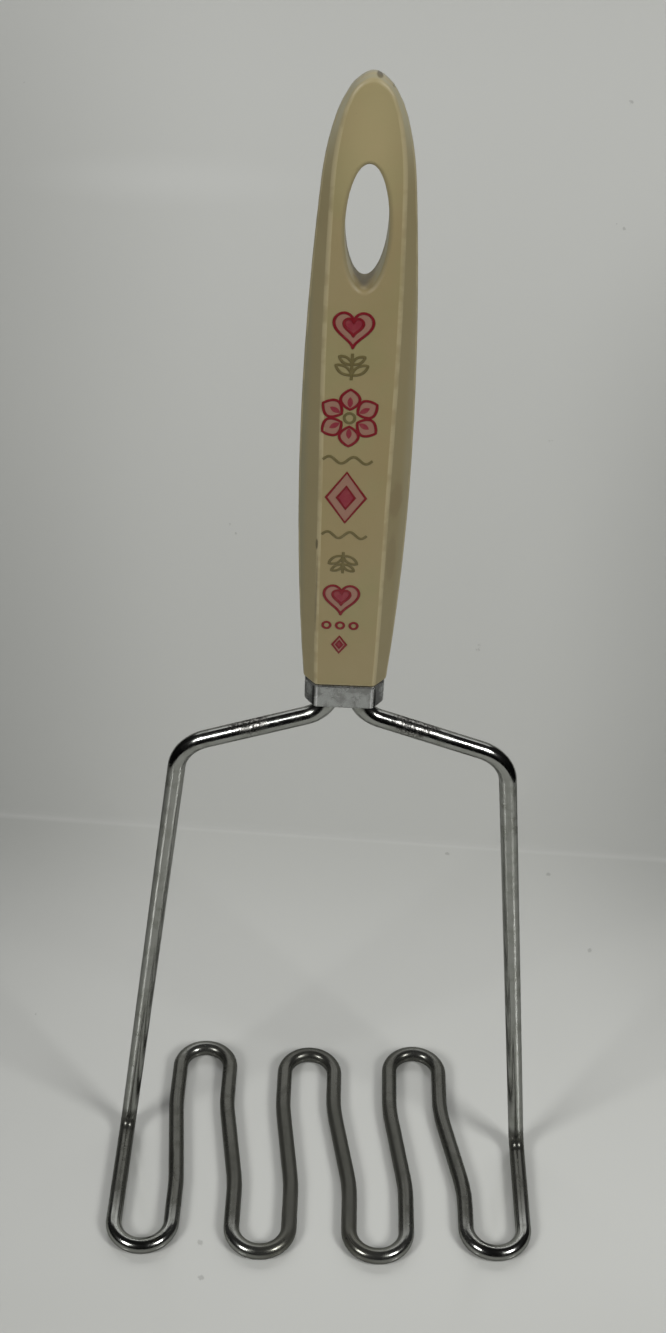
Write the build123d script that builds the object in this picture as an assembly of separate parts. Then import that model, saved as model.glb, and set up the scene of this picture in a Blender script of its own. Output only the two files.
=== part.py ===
from build123d import *
from math import cos, hypot, pi, sqrt
import os

# Potato masher that stands on its wire head. Millimetres, +Z up.
# The origin is on the table, under the handle and in the middle of the head.
# The front of the handle faces -Y.

# Wire: one length of stock, bent into head, frame and two tangs
# Its section has many flat sides that touch the round wire's outline, and lies on one of them
wire_diameter = 3.6
wire_radius = wire_diameter / 2
wire_side_count = 18
wire_corner_radius = wire_radius / cos(pi / wire_side_count)

# Head: front turns and back turns of the wire, lying on the table
# Hand bending leaves each turn a little longer or shorter than half the head's depth
front_pitch = 27.0
front_turn_radius = 6.6
front_turn_reach_shares = (1.01, 1.02, 1.02, 0.95)
back_pitch = 26.2
back_turn_radius = 6.2
back_turn_shift = 3.6
back_turn_reach_shares = (0.995, 0.965, 1.02)
head_depth = 58.7
sway_span = 23.0
sway_radius = 36.0
foot_bend_radius = 4.0

# Frame: two splayed uprights and two sloping arms, up to the tangs
# The feet stand a little behind the handle, the left one further than the right one
shoulder_half_span = 32.6
shoulder_shift = 0.5
shoulder_height = 123.8
shoulder_bend_radius = 9.0
foot_set_back = 4.5
foot_skew = 0.85
arm_rise = 10.4
tang_gap = 0.8
tang_half_spacing = wire_radius + tang_gap / 2
tang_bend_radius = 7.5
tang_length = 34.5
tang_corner_height = shoulder_height + arm_rise

# Ferrule: drawn octagonal cup under the handle
ferrule_rise_above_arms = 3.5
ferrule_height = 5.3
ferrule_half_width = 7.6
ferrule_half_depth = 4.3
ferrule_side_half_flat = 1.6
ferrule_bevel_run = 2.0
ferrule_wall = 0.6
ferrule_floor = 0.8
ferrule_bottom_rounding = 0.7
ferrule_slot_clearance = 0.25
ferrule_bottom_height = tang_corner_height + ferrule_rise_above_arms

# Handle: octagonal moulding, outline seen from the front
handle_gap = 0.3
handle_length = 114.1
belly_height_share = 0.409
neck_height_share = 0.852
handle_end_half_width = 7.9
handle_belly_half_width = 9.85
handle_neck_half_width = 7.58
handle_nose_radius = 4.5
handle_end_height = ferrule_bottom_height + ferrule_height + handle_gap
handle_belly_height = handle_end_height + belly_height_share * handle_length
handle_neck_height = handle_end_height + neck_height_share * handle_length
handle_tip_height = handle_end_height + handle_length

# Handle: outline seen from the side, an arc from the end to the flank and a straight taper above
handle_end_half_depth = 4.5
flank_height_share = 0.471
handle_flank_half_depth = 4.5
handle_tip_half_depth = 2.2
handle_flank_height = handle_end_height + flank_height_share * handle_length

# Handle: bevels between the side flats and the front and back faces
side_half_flat_at_end = 1.6
side_half_flat_at_tip = 0.7
bevel_half_depth_at_end = 6.4
bevel_half_depth_at_tip = 2.6
bevel_run_at_end = 3.8
bevel_run_at_belly = 3.9
bevel_run_at_neck = 2.05
bevel_run_at_tip = 0.8

# Handle: hang hole, spigot and tang bores
hang_hole_drop = 24.15
hang_hole_half_width = 3.55
hang_hole_half_height = 10.3
hang_hole_rounding = 0.9
hang_hole_height = handle_tip_height - hang_hole_drop
spigot_rise_above_floor = 0.9
fit_clearance = 0.05
bore_end_clearance = 0.5

# Every cut runs past the surface by this much
overrun = 2.0

output_folder = "parts"


def bent_path(corners, radii):
    """Straight runs joined by tangent arcs, one arc of the given radius at each inner corner."""
    edges = []
    last = corners[0]
    for before, corner, after, radius in zip(corners, corners[1:], corners[2:], radii):
        arriving = (corner - before).normalized()
        leaving = (after - corner).normalized()
        half_turn_cos = sqrt((1 + arriving.dot(leaving)) / 2)
        half_turn_sin = sqrt((1 - arriving.dot(leaving)) / 2)
        setback = radius * half_turn_sin / half_turn_cos
        arc_start = corner - arriving * setback
        arc_end = corner + leaving * setback
        arc_middle = corner + (leaving - arriving).normalized() * (radius / half_turn_cos - radius)
        if (arc_start - last).length > fit_clearance:
            edges.append(Line(last, arc_start))
            last = arc_start
        edges.append(ThreePointArc(last, arc_middle, arc_end))
        last = arc_end
    edges.append(Line(last, corners[-1]))
    return Wire(edges)


def head_corners():
    """Corners of the head from the left foot to the right foot, with the radius of each bend."""
    front_turn_count = len(front_turn_reach_shares)
    corners = []
    radii = []
    for turn, front_share in enumerate(front_turn_reach_shares):
        front_middle = (turn - (front_turn_count - 1) / 2) * front_pitch
        front_line = -front_share * head_depth / 2
        left_leg = front_middle - front_turn_radius
        right_leg = front_middle + front_turn_radius
        if turn > 0:
            corners.append(Vector(left_leg, -sway_span / 2, wire_radius))
            radii.append(sway_radius)
        corners.append(Vector(left_leg, front_line, wire_radius))
        corners.append(Vector(right_leg, front_line, wire_radius))
        radii += [front_turn_radius, front_turn_radius]
        if turn < front_turn_count - 1:
            back_middle = (turn - (front_turn_count - 2) / 2) * back_pitch - back_turn_shift
            back_line = back_turn_reach_shares[turn] * head_depth / 2
            back_left_leg = back_middle - back_turn_radius
            back_right_leg = back_middle + back_turn_radius
            corners.append(Vector(right_leg, -sway_span / 2, wire_radius))
            corners.append(Vector(back_left_leg, sway_span / 2, wire_radius))
            corners.append(Vector(back_left_leg, back_line, wire_radius))
            corners.append(Vector(back_right_leg, back_line, wire_radius))
            corners.append(Vector(back_right_leg, sway_span / 2, wire_radius))
            radii += [sway_radius, sway_radius, back_turn_radius, back_turn_radius, sway_radius]
    return corners, radii


def frame_corners(side):
    """Corners from a tang's top down to the foot, side -1 for left and 1 for right."""
    foot_half_span = (len(front_turn_reach_shares) - 1) / 2 * front_pitch + front_turn_radius
    corners = [
        Vector(side * tang_half_spacing, 0, ferrule_bottom_height + tang_length),
        Vector(side * tang_half_spacing, 0, tang_corner_height),
        Vector(side * shoulder_half_span + shoulder_shift, 0, shoulder_height),
        Vector(side * foot_half_span, foot_set_back - side * foot_skew, wire_radius),
    ]
    return corners, [tang_bend_radius, shoulder_bend_radius, foot_bend_radius]


def carried_back(direction, corners):
    """A direction that is square to the last run, turned back along every bend to the first run."""
    for before, corner, after in reversed(list(zip(corners, corners[1:], corners[2:]))):
        arriving = corner - before
        leaving = after - corner
        axis = Axis(corner, leaving.cross(arriving))
        direction = direction.rotate(axis, leaving.get_angle(arriving))
    return direction


def wire_section(corners):
    """Section at a tang's top, turned so that the head lies on its flat sides."""
    across = carried_back(Vector(1, 0, 0), corners)
    base = Plane(origin=corners[0], x_dir=across, z_dir=corners[1] - corners[0])
    return base * RegularPolygon(wire_radius, wire_side_count, major_radius=False)


def masher_wire():
    """The whole wire as one bar swept along its bent path."""
    left_corners, left_radii = frame_corners(-1)
    right_corners, right_radii = frame_corners(1)
    middle_corners, middle_radii = head_corners()
    corners = left_corners + middle_corners + right_corners[::-1]
    radii = left_radii + middle_radii + right_radii[::-1]
    section = wire_section(left_corners + middle_corners[:1])
    return sweep(section, path=bent_path(corners, radii))


def octagon(height, half_width, half_depth, side_half_flat, bevel_run):
    """Level octagon with two wide faces, two narrow sides and four bevels."""
    front_half_width = half_width - bevel_run
    quarter = [(half_width, side_half_flat), (front_half_width, half_depth)]
    right_back = quarter
    left_back = [(-x, y) for x, y in reversed(quarter)]
    left_front = [(-x, -y) for x, y in quarter]
    right_front = [(x, -y) for x, y in reversed(quarter)]
    corners = right_back + left_back + left_front + right_front
    return Plane.XY.offset(height) * make_face(Polyline(*corners, close=True))


def ferrule_octagon(height, inset):
    """Level octagon inside the ferrule's outline by an inset."""
    return octagon(
        height,
        ferrule_half_width - inset,
        ferrule_half_depth - inset,
        ferrule_side_half_flat,
        ferrule_bevel_run,
    )


def wire_exit_reach():
    """Half length that the two bent wires take up where they leave the ferrule's floor."""
    tang_top = Vector(tang_half_spacing, 0, ferrule_bottom_height + tang_length)
    corner = Vector(tang_half_spacing, 0, tang_corner_height)
    shoulder = Vector(shoulder_half_span + shoulder_shift, 0, shoulder_height)
    arriving = (corner - tang_top).normalized()
    leaving = (shoulder - corner).normalized()
    turn_cos = arriving.dot(leaving)
    setback = tang_bend_radius * sqrt((1 - turn_cos) / (1 + turn_cos))
    drop = max(0, tang_corner_height + setback - ferrule_bottom_height)
    inner_radius = tang_bend_radius - wire_radius
    drop = min(drop, inner_radius)
    return tang_half_spacing + tang_bend_radius - sqrt(inner_radius**2 - drop**2)


def ferrule():
    """Thin octagonal cup with one oblong slot in its floor for both wires."""
    shell = extrude(ferrule_octagon(ferrule_bottom_height, 0), ferrule_height)
    shell = fillet(shell.faces().sort_by(Axis.Z)[0].edges(), ferrule_bottom_rounding)
    pocket_bottom = ferrule_bottom_height + ferrule_floor
    shell -= extrude(ferrule_octagon(pocket_bottom, ferrule_wall), ferrule_height)
    slot_width = wire_diameter + 2 * ferrule_slot_clearance
    slot_length = 2 * (wire_exit_reach() + ferrule_slot_clearance)
    slot = Plane.XY.offset(ferrule_bottom_height - overrun) * SlotOverall(slot_length, slot_width)
    return shell - extrude(slot, overrun + ferrule_floor + overrun)


def linear(at_end, at_tip):
    """Depth that changes evenly from the handle's end to its tip."""
    def depth(height):
        travelled = (height - handle_end_height) / (handle_tip_height - handle_end_height)
        return at_end + (at_tip - at_end) * travelled
    return depth


def circle_centre(first, second, third):
    """Centre of the circle through three points given as (across, up) pairs."""
    (ax, az), (bx, bz), (cx, cz) = first, second, third
    doubled = 2 * (ax * (bz - cz) + bx * (cz - az) + cx * (az - bz))
    a2, b2, c2 = ax**2 + az**2, bx**2 + bz**2, cx**2 + cz**2
    centre_x = (a2 * (bz - cz) + b2 * (cz - az) + c2 * (az - bz)) / doubled
    centre_z = (a2 * (cx - bx) + b2 * (ax - cx) + c2 * (bx - ax)) / doubled
    return centre_x, centre_z


def shoulder_arc(neck, side_centre, tip_height, nose_radius):
    """Middle and far end of the arc that leaves the side arc at the neck and runs into the nose."""
    neck_x, neck_z = neck
    nose_z = tip_height - nose_radius
    side_radius = hypot(side_centre[0] - neck_x, side_centre[1] - neck_z)
    inward_x = (side_centre[0] - neck_x) / side_radius
    inward_z = (side_centre[1] - neck_z) / side_radius
    offset_squared = neck_x**2 + (neck_z - nose_z) ** 2
    offset_inward = neck_x * inward_x + (neck_z - nose_z) * inward_z
    radius = (nose_radius**2 - offset_squared) / (2 * (offset_inward + nose_radius))
    centre_x = neck_x + radius * inward_x
    centre_z = neck_z + radius * inward_z
    reach = hypot(centre_x, centre_z - nose_z)
    end = (-centre_x / reach * nose_radius, nose_z + (nose_z - centre_z) / reach * nose_radius)
    along_x = (neck_x - centre_x) + (end[0] - centre_x)
    along_z = (neck_z - centre_z) + (end[1] - centre_z)
    along = hypot(along_x, along_z)
    middle = (centre_x + along_x / along * radius, centre_z + along_z / along * radius)
    return middle, end


def handle_outline(inset_end, inset_belly, inset_neck, inset_tip, depth):
    """Closed front outline of the handle, inset from the silhouette and laid at a depth."""
    end = (handle_end_half_width - inset_end, handle_end_height)
    belly = (handle_belly_half_width - inset_belly, handle_belly_height)
    neck = (handle_neck_half_width - inset_neck, handle_neck_height)
    tip_height = handle_tip_height - inset_tip
    nose_radius = handle_nose_radius - inset_tip
    side_centre = circle_centre(end, belly, neck)
    shoulder, nose_start = shoulder_arc(neck, side_centre, tip_height, nose_radius)

    def right(point):
        return Vector(point[0], depth(point[1]), point[1])

    def left(point):
        return Vector(-point[0], depth(point[1]), point[1])

    return Wire([
        Line(left(end), right(end)),
        ThreePointArc(right(end), right(belly), right(neck)),
        ThreePointArc(right(neck), right(shoulder), right(nose_start)),
        ThreePointArc(right(nose_start), right((0, tip_height)), left(nose_start)),
        ThreePointArc(left(nose_start), left(shoulder), left(neck)),
        ThreePointArc(left(neck), left(belly), left(end)),
    ])


def octagonal_grip():
    """Side flats and bevels of the handle, as straight-ruled walls between four outlines."""
    flat_depth = linear(side_half_flat_at_end, side_half_flat_at_tip)
    bevel_depth = linear(bevel_half_depth_at_end, bevel_half_depth_at_tip)
    bevel_insets = (bevel_run_at_end, bevel_run_at_belly, bevel_run_at_neck, bevel_run_at_tip)
    sections = [
        handle_outline(*bevel_insets, lambda height: -bevel_depth(height)),
        handle_outline(0, 0, 0, 0, lambda height: -flat_depth(height)),
        handle_outline(0, 0, 0, 0, flat_depth),
        handle_outline(*bevel_insets, bevel_depth),
    ]
    return Solid.make_loft(sections, ruled=True)


def side_profile():
    """Bar of the handle's thickness, wider than the handle, that shapes its front and back."""
    taper = Vector(0, handle_flank_half_depth - handle_tip_half_depth, handle_flank_height - handle_tip_height)
    above_tip = handle_tip_height + overrun
    edges = []
    for side in (1, -1):
        run = Vector(0, side * taper.Y, taper.Z)
        flank = Vector(0, side * handle_flank_half_depth, handle_flank_height)
        top = flank - run * ((above_tip - handle_flank_height) / (handle_tip_height - handle_flank_height))
        end = Vector(0, side * handle_end_half_depth, handle_end_height)
        edges += [Line(top, flank), TangentArc(flank, end, tangent=run)]
    front_top, back_top = edges[0] @ 0, edges[2] @ 0
    front_end, back_end = edges[1] @ 1, edges[3] @ 1
    edges += [Line(front_top, back_top), Line(front_end, back_end)]
    face = Face(Wire.combine(edges)[0])
    return extrude(face, handle_belly_half_width + overrun, dir=(1, 0, 0), both=True)


def spigot():
    """Short octagonal neck under the handle that the ferrule is pushed over."""
    bottom = ferrule_bottom_height + ferrule_floor + spigot_rise_above_floor
    section = ferrule_octagon(bottom, ferrule_wall + fit_clearance)
    return extrude(section, handle_end_height - bottom)


def tang_bore(side):
    """Blind round bore for one tang, side -1 for left and 1 for right."""
    top = ferrule_bottom_height + tang_length + bore_end_clearance
    bottom = ferrule_bottom_height + ferrule_floor - overrun
    base = Plane.XY.offset(bottom) * Pos(side * tang_half_spacing, 0)
    return extrude(base * Circle(wire_corner_radius + fit_clearance), top - bottom)


def handle():
    """Moulded handle with an oval hang hole, a spigot and two blind bores."""
    grip = octagonal_grip() & side_profile()
    hole_plane = Plane.XZ * Pos(0, hang_hole_height)
    hole = hole_plane * Ellipse(hang_hole_half_width, hang_hole_half_height)
    grip -= extrude(hole, handle_end_half_depth + overrun, both=True)
    wall_middle = Vector(0, 0, hang_hole_height)
    hole_wall = grip.faces().sort_by_distance(wall_middle)[0]
    grip = fillet(hole_wall.edges(), hang_hole_rounding)
    body = grip + spigot()
    for side in (-1, 1):
        body -= tang_bore(side)
    return body


def main():
    """Build each piece and write it to its own file."""
    os.makedirs(output_folder, exist_ok=True)
    pieces = {"handle": handle(), "ferrule": ferrule(), "masher_wire": masher_wire()}
    for name, solid in pieces.items():
        export_step(solid, f"{output_folder}/{name}.step")


main()
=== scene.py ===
"""Potato masher standing on a pale sheet: moulded handle, plated ferrule and one bent wire."""

import logging
import math
from collections.abc import Iterable, Sequence
from dataclasses import dataclass
from enum import Enum
from typing import ClassVar

import bmesh
import bpy
from mathutils import Matrix, Vector
from mathutils.bvhtree import BVHTree

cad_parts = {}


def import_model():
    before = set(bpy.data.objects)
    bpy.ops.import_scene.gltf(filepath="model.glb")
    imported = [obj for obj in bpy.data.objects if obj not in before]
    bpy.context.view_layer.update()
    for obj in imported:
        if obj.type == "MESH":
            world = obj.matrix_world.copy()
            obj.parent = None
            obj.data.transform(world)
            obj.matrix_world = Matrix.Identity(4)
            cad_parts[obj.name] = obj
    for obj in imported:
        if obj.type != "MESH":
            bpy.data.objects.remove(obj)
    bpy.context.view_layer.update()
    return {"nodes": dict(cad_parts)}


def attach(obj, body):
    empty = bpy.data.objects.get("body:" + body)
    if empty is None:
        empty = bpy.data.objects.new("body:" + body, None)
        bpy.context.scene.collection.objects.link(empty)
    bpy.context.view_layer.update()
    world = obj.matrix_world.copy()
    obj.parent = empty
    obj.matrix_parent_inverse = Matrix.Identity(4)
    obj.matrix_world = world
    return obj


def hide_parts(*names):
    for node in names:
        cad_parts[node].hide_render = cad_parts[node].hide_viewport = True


LOG = logging.getLogger("masher")
MM = 0.001

Socket = bpy.types.NodeSocket
Scalar = float | Socket
Colour = tuple[float, float, float]
Triple = tuple[float, float, float]
Span = tuple[float, float]
Point = tuple[float, float]
Outline = tuple[Point, ...]


def srgb(red: int, green: int, blue: int) -> Colour:
    """Linear colour of an 8-bit display colour.

    Args:
        red: Red channel from 0 to 255.
        green: Green channel from 0 to 255.
        blue: Blue channel from 0 to 255.

    Returns:
        The three channels on Blender's linear scale.
    """
    shares = (red / 255, green / 255, blue / 255)
    return tuple(s / 12.92 if s <= 0.04045 else ((s + 0.055) / 1.055) ** 2.4 for s in shares)


class Graph:
    """Adds and links nodes in one node tree."""

    def __init__(self, tree: bpy.types.NodeTree) -> None:
        """Holds the tree that the nodes are added to."""
        self.tree = tree

    def fill(self, node: bpy.types.Node, inputs: dict) -> None:
        """Sets or links a node's inputs.

        Args:
            node: Node of this tree.
            inputs: Values or sockets by input name or number.
        """
        for key, value in inputs.items():
            socket = node.inputs[key]
            if isinstance(value, Socket):
                self.tree.links.new(value, socket)
            elif socket.type == "RGBA" and len(value) == 3:
                socket.default_value = (*value, 1.0)
            else:
                socket.default_value = value

    def add(self, kind: str, inputs: dict | None = None, **settings: object) -> bpy.types.Node:
        """Adds a node.

        Args:
            kind: Node type name.
            inputs: Values or sockets by input name or number.
            settings: Attributes of the node, set before its inputs.

        Returns:
            The new node.
        """
        node = self.tree.nodes.new(kind)
        for name, value in settings.items():
            setattr(node, name, value)
        self.fill(node, inputs or {})
        return node

    def math(
        self, operation: str, first: Scalar, second: Scalar = 0.0, clamp: bool = False
    ) -> Socket:
        """Output of a math node."""
        inputs = {0: first, 1: second}
        return self.add("ShaderNodeMath", inputs, operation=operation, use_clamp=clamp).outputs[0]

    def times(self, first: Scalar, second: Scalar) -> Socket:
        """Product of two values."""
        return self.math("MULTIPLY", first, second)

    def plus(self, first: Scalar, second: Scalar) -> Socket:
        """Sum of two values."""
        return self.math("ADD", first, second)

    def mix(self, factor: Scalar, first: Colour | Socket, second: Colour | Socket) -> Socket:
        """Output of a colour mix node."""
        inputs = {"Factor": factor, 6: first, 7: second}
        return self.add("ShaderNodeMix", inputs, data_type="RGBA").outputs[2]

    def ramp(
        self, value: Socket, reach: Sequence[Scalar], result: Sequence[Scalar] = (0.0, 1.0)
    ) -> Socket:
        """Smooth step from one range to another.

        Args:
            value: Value that is mapped.
            reach: Its start and end, which may fall.
            result: Results at that start and end.

        Returns:
            The mapped value.
        """
        inputs = {
            "Value": value,
            "From Min": reach[0],
            "From Max": reach[1],
            "To Min": result[0],
            "To Max": result[1],
        }
        return self.add("ShaderNodeMapRange", inputs, interpolation_type="SMOOTHSTEP").outputs[0]

    def noise(self, place: Socket, scale: Scalar, detail: float, roughness: float = 0.5) -> Socket:
        """Output of a noise texture."""
        inputs = {"Vector": place, "Scale": scale, "Detail": detail, "Roughness": roughness}
        return self.add("ShaderNodeTexNoise", inputs).outputs[0]

    def place(self) -> Socket:
        """Place on the piece, in object coordinates."""
        return self.add("ShaderNodeTexCoord").outputs["Object"]

    def axes(self, vector: Socket) -> tuple[Socket, Socket, Socket]:
        """The three parts of a vector."""
        return tuple(self.add("ShaderNodeSeparateXYZ", {0: vector}).outputs)

    def attribute(self, name: str, kind: str = "Fac") -> Socket:
        """A mesh attribute's value."""
        return self.add("ShaderNodeAttribute", attribute_name=name).outputs[kind]

    def bump(self, height: Socket, strength: float, distance: float) -> Socket:
        """Normal of a surface raised by a height."""
        inputs = {"Height": height, "Strength": strength, "Distance": distance}
        return self.add("ShaderNodeBump", inputs).outputs[0]


def mask_group(name: str, inputs: dict[str, float | None]) -> tuple[Graph, dict[str, Socket]]:
    """Starts a shared shader group that makes one mask.

    Args:
        name: Group name.
        inputs: Default by input name, None for a vector.

    Returns:
        The group's graph and its input sockets by name.
    """
    tree = bpy.data.node_groups.new(name, "ShaderNodeTree")
    for label, default in inputs.items():
        kind = "NodeSocketVector" if default is None else "NodeSocketFloat"
        socket = tree.interface.new_socket(label, in_out="INPUT", socket_type=kind)
        if default is not None:
            socket.default_value = default
    tree.interface.new_socket("Mask", in_out="OUTPUT", socket_type="NodeSocketFloat")
    graph = Graph(tree)
    given = graph.add("NodeGroupInput").outputs
    return graph, {label: given[label] for label in inputs}


@dataclass(frozen=True)
class Patches:
    """Soft irregular patches over a whole surface, for haze, dust and smudges."""

    scale: float
    cover: float
    softness: float
    strength: float = 1.0
    detail: ClassVar[float] = 5.0
    grain: ClassVar[float] = 0.6

    def _group(self) -> bpy.types.NodeTree:
        """The shared group, made once.

        Returns:
            The group's tree.
        """
        name = "patch_mask"
        if name in bpy.data.node_groups:
            return bpy.data.node_groups[name]
        graph, given = mask_group(name, {"Vector": None, "Scale": 100.0, "Cover": 0.5, "Softness": 0.1})
        noise = graph.noise(given["Vector"], given["Scale"], self.detail, self.grain)
        middle = graph.math("SUBTRACT", 1.0, given["Cover"])
        low = graph.math("SUBTRACT", middle, given["Softness"])
        mask = graph.ramp(noise, (low, graph.plus(middle, given["Softness"])))
        graph.add("NodeGroupOutput", {"Mask": mask})
        return graph.tree

    def mask(self, graph: Graph, place: Socket) -> Socket:
        """Adds the patches' mask to a material.

        Args:
            graph: The material's graph.
            place: Place on the piece.

        Returns:
            Mask socket, scaled by the strength.
        """
        inputs = {
            "Vector": place,
            "Scale": self.scale,
            "Cover": self.cover,
            "Softness": self.softness,
        }
        mask = graph.add("ShaderNodeGroup", inputs, node_tree=self._group()).outputs[0]
        return graph.times(mask, self.strength)


@dataclass(frozen=True)
class Spot:
    """One soft local mark, its rim broken by noise. Place and reach in millimetres."""

    centre: Triple
    reach: Triple
    colour: Colour
    strength: float
    ragged: float = 0.6
    grain: float = 600.0
    core: float = 0.6
    detail: ClassVar[float] = 4.0

    def _group(self) -> bpy.types.NodeTree:
        """The shared group, made once.

        Returns:
            The group's tree.
        """
        name = "spot_mask"
        if name in bpy.data.node_groups:
            return bpy.data.node_groups[name]
        graph, given = mask_group(
            name,
            {"Vector": None, "Centre": None, "Reach": None, "Ragged": 0.5, "Grain": 600.0, "Core": 0.6},
        )
        place = given["Vector"]
        offset = graph.add("ShaderNodeVectorMath", {0: place, 1: given["Centre"]}, operation="SUBTRACT")
        shares = {0: offset.outputs[0], 1: given["Reach"]}
        scaled = graph.add("ShaderNodeVectorMath", shares, operation="DIVIDE")
        length = graph.add("ShaderNodeVectorMath", {0: scaled.outputs[0]}, operation="LENGTH")
        noise = graph.noise(place, given["Grain"], self.detail)
        shift = graph.times(graph.math("SUBTRACT", noise, 0.5), given["Ragged"])
        mask = graph.ramp(graph.plus(length.outputs["Value"], shift), (1.0, given["Core"]))
        graph.add("NodeGroupOutput", {"Mask": mask})
        return graph.tree

    def mask(self, graph: Graph, place: Socket) -> Socket:
        """Adds the mark's mask to a material.

        Args:
            graph: The material's graph.
            place: Place on the piece.

        Returns:
            Mask socket, scaled by the strength.
        """
        inputs = {
            "Vector": place,
            "Centre": tuple(value * MM for value in self.centre),
            "Reach": tuple(value * MM for value in self.reach),
            "Ragged": self.ragged,
            "Grain": self.grain,
            "Core": self.core,
        }
        mask = graph.add("ShaderNodeGroup", inputs, node_tree=self._group()).outputs[0]
        return graph.times(mask, self.strength)


@dataclass(frozen=True)
class EdgeWear:
    """Rubbing along a piece's rounded edges, from its own edge attribute."""

    grain: float
    evenness: float
    strength: float
    detail: ClassVar[float] = 3.0
    breaks: ClassVar[Span] = (0.35, 0.65)

    def _group(self) -> bpy.types.NodeTree:
        """The shared group, made once.

        Returns:
            The group's tree.
        """
        name = "edge_wear"
        if name in bpy.data.node_groups:
            return bpy.data.node_groups[name]
        graph, given = mask_group(name, {"Vector": None, "Edge": 0.0, "Grain": 300.0, "Evenness": 0.5})
        broken = graph.ramp(graph.noise(given["Vector"], given["Grain"], self.detail), self.breaks)
        rubbed = graph.math("ADD", broken, given["Evenness"], clamp=True)
        graph.add("NodeGroupOutput", {"Mask": graph.times(rubbed, given["Edge"])})
        return graph.tree

    def mask(self, graph: Graph, place: Socket) -> Socket:
        """Adds the worn edges' mask to a material.

        Args:
            graph: The material's graph.
            place: Place on the piece.

        Returns:
            Mask socket, scaled by the strength.
        """
        inputs = {
            "Vector": place,
            "Edge": graph.attribute("edge"),
            "Grain": self.grain,
            "Evenness": self.evenness,
        }
        mask = graph.add("ShaderNodeGroup", inputs, node_tree=self._group()).outputs[0]
        return graph.times(mask, self.strength)


def new_material(name: str) -> tuple[bpy.types.Material, Graph, bpy.types.Node, bpy.types.Node]:
    """Starts a node material.

    Args:
        name: Material name.

    Returns:
        The material, its graph, its Principled shader and its output node.
    """
    material = bpy.data.materials.new(name)
    material.use_nodes = True
    material.node_tree.nodes.clear()
    graph = Graph(material.node_tree)
    shader = graph.add("ShaderNodeBsdfPrincipled")
    output = graph.add("ShaderNodeOutputMaterial", {0: shader.outputs[0]})
    return material, graph, shader, output


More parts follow.
